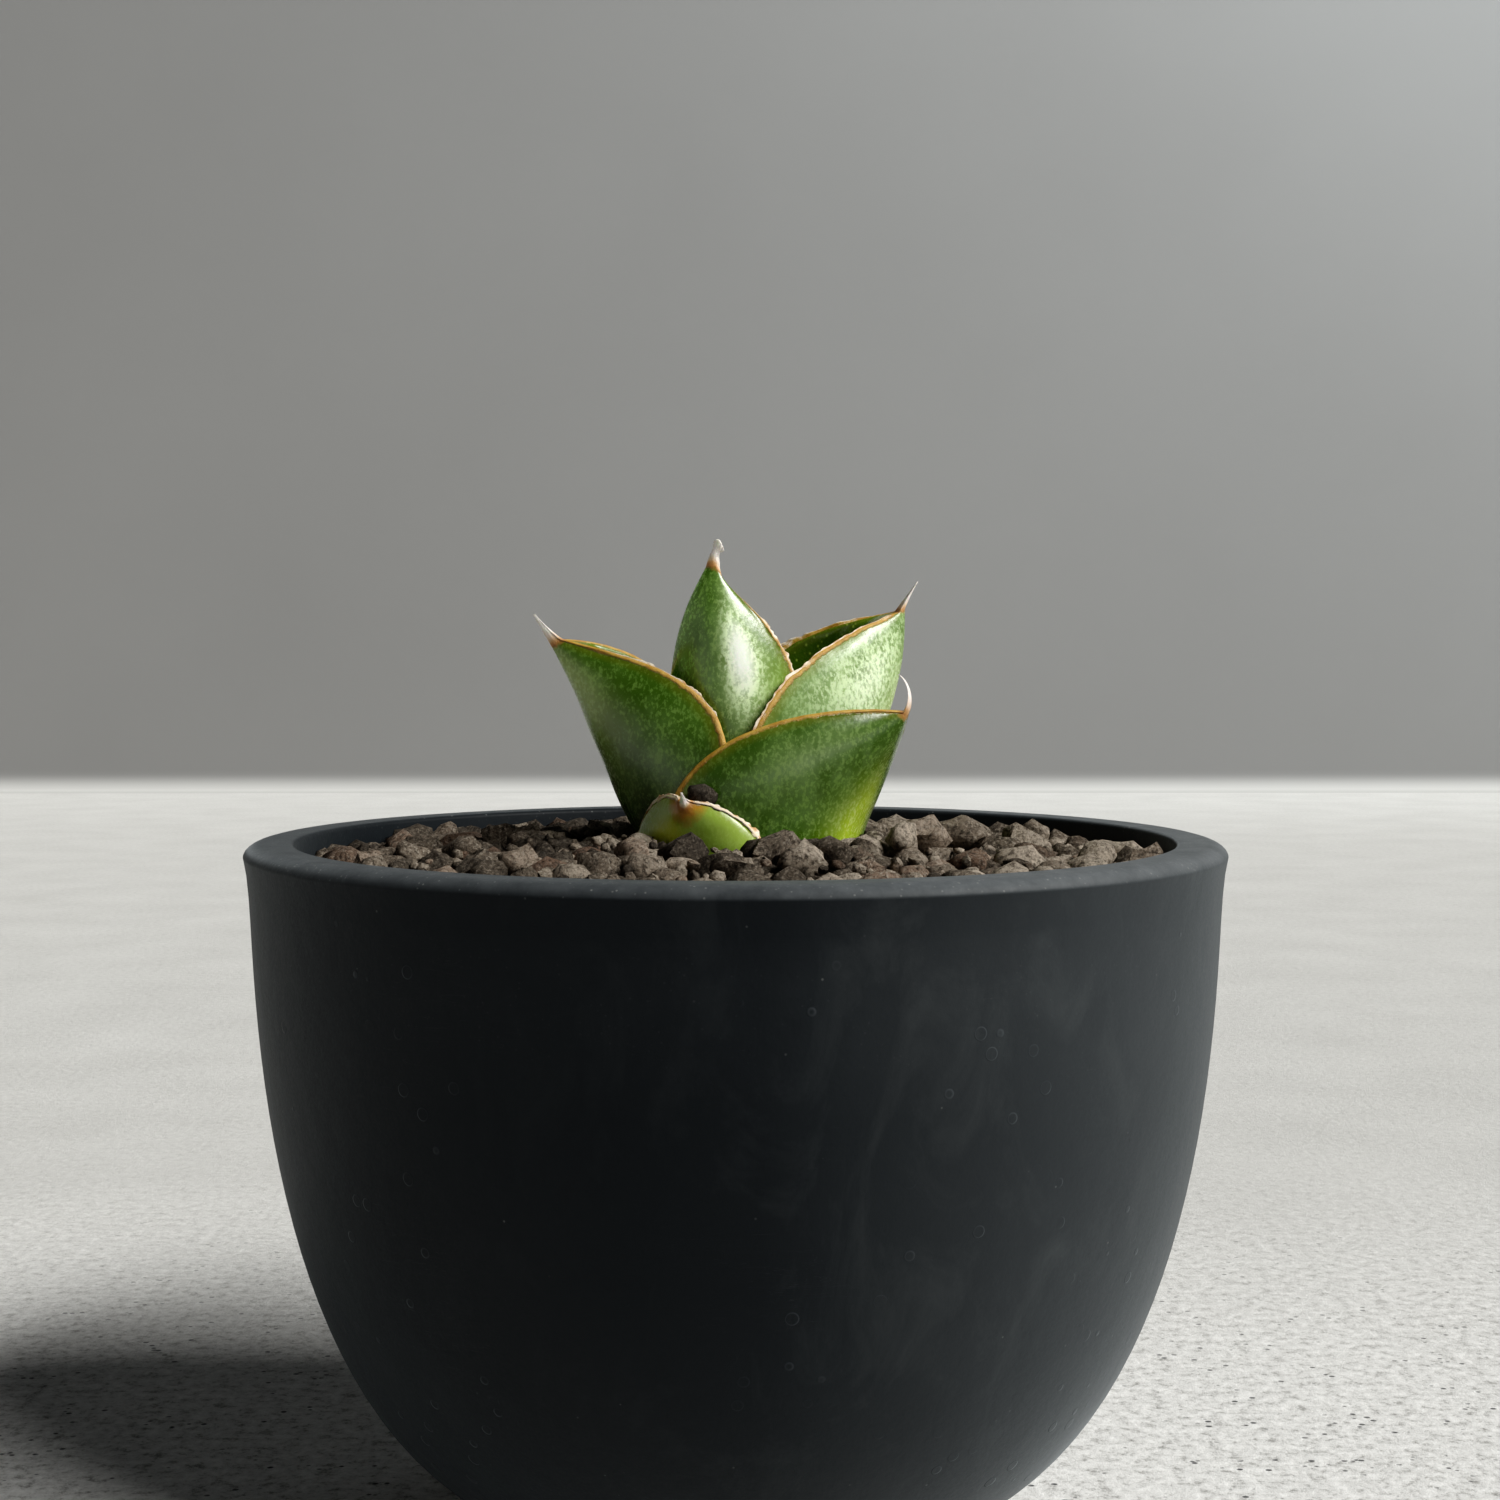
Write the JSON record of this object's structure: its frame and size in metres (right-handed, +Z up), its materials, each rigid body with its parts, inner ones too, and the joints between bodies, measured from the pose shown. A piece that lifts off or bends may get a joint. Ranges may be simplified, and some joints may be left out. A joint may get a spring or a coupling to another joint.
{
  "type": "potted snake plant",
  "caption": "A young snake plant with thick, trough-shaped leaves in a round black plastic pot filled to the rim with coarse volcanic grit.",
  "frame": {"origin": "Middle of the pot's foot ring, on the surface it stands on.", "axes": "+Z up along the pot's axis, -Y towards the picture's viewer, +X to the picture's right. The pot is round, so the plant alone sets X and Y: its tallest leaf leans towards -X-Y."},
  "size_m": [0.1, 0.1, 0.1006],
  "materials": {
    "pot_plastic": "matte, dusty, lightly scuffed near-black",
    "grit": "rough porous brown-grey volcanic grit",
    "leaf_green": "thick waxy leaf, satin, fine pale mottling, thin orange margins",
    "rhizome_skin": "pale tan, papery"
  },
  "bodies": {
    "root": {"pot": "pot_plastic", "soil": "grit", "leaf_spear": "leaf_green", "leaf_centre": "leaf_green", "leaf_right": "leaf_green", "leaf_left": "leaf_green", "leaf_front": "leaf_green", "leaf_back": "leaf_green", "leaf_small": "leaf_green", "rhizome_and_roots": "rhizome_skin"}
  },
  "joints": []
}
